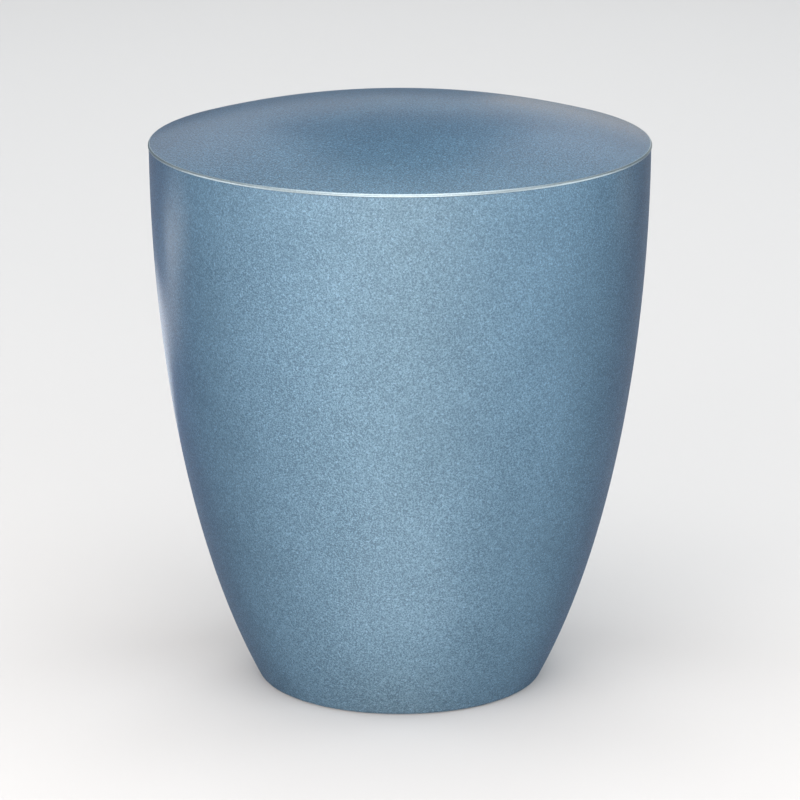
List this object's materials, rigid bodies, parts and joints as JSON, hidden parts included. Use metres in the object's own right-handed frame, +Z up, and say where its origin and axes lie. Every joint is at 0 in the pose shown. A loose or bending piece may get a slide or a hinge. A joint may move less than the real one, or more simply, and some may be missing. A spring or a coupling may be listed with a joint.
{
  "type": "funeral urn",
  "caption": "Tapering funeral urn of sheet steel in blue metallic lacquer, hollow inside to take ashes or an ash capsule, with a low domed lid that lifts off.",
  "frame": {"origin": "centre of the plane that the urn stands on, on the vessel's axis", "axes": "+Z up along the axis of the vessel, from the stand to the crown of the lid; the urn is round, so +X and +Y are any two directions across it"},
  "size_m": [0.236, 0.236, 0.2786],
  "materials": {
    "blue_metallic_lacquer": "satin"
  },
  "bodies": {
    "root": {"urn_body": "blue_metallic_lacquer", "urn_lid": "blue_metallic_lacquer"}
  },
  "joints": []
}
